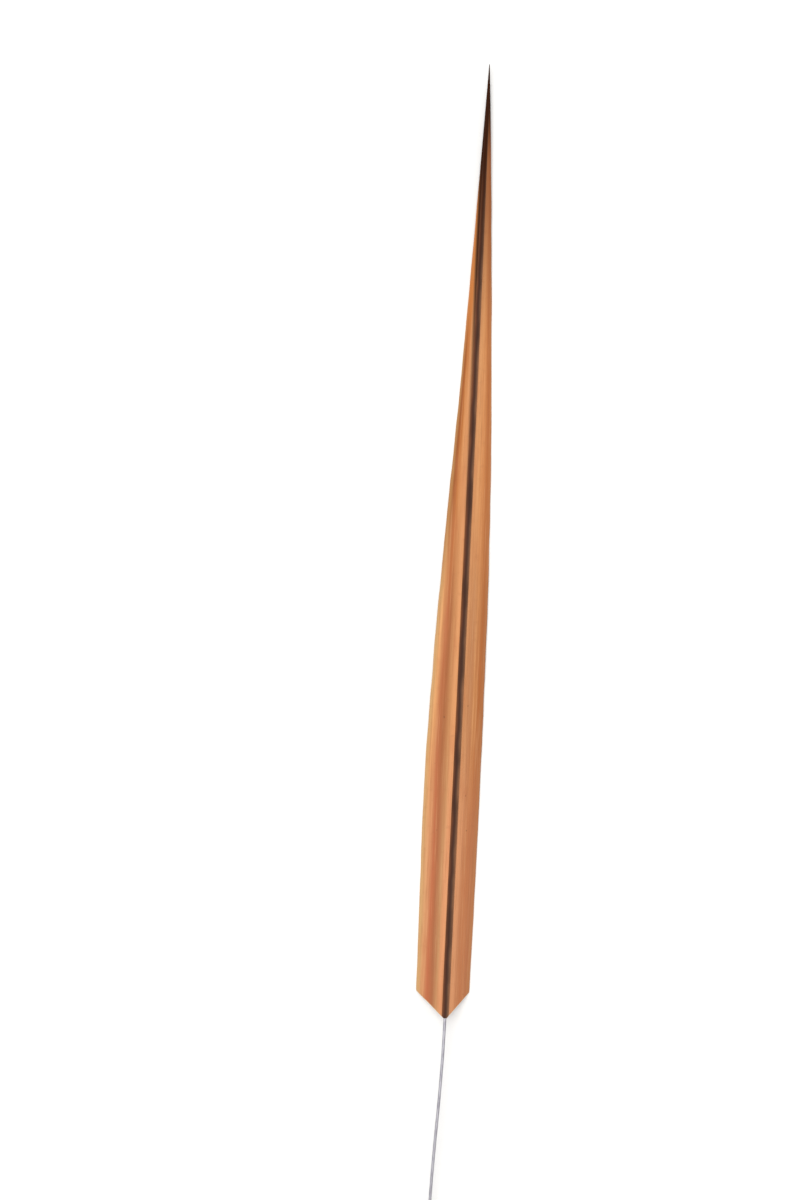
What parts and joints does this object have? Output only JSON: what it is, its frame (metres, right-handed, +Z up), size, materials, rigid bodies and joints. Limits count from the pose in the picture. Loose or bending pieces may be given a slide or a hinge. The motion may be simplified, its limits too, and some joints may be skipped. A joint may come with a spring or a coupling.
{
  "type": "dried date palm frond",
  "caption": "Dried date palm leaflet, folded along its midrib and trimmed to a long spear, on a thin steel wire stem for flower arranging.",
  "frame": {"origin": "the middle of the underside of the part's box, on the surface it lies on", "axes": "+Y along the leaflet from the wire's free end to the tip, +X to the narrower half, +Z up, through the back of the midrib"},
  "size_m": [0.0224, 0.5856, 0.0098],
  "materials": {
    "dried_palm_leaf": "satin",
    "galvanised_wire": "satin"
  },
  "bodies": {
    "root": {"palm_leaflet": "dried_palm_leaf", "stem_wire": "galvanised_wire"}
  },
  "joints": []
}
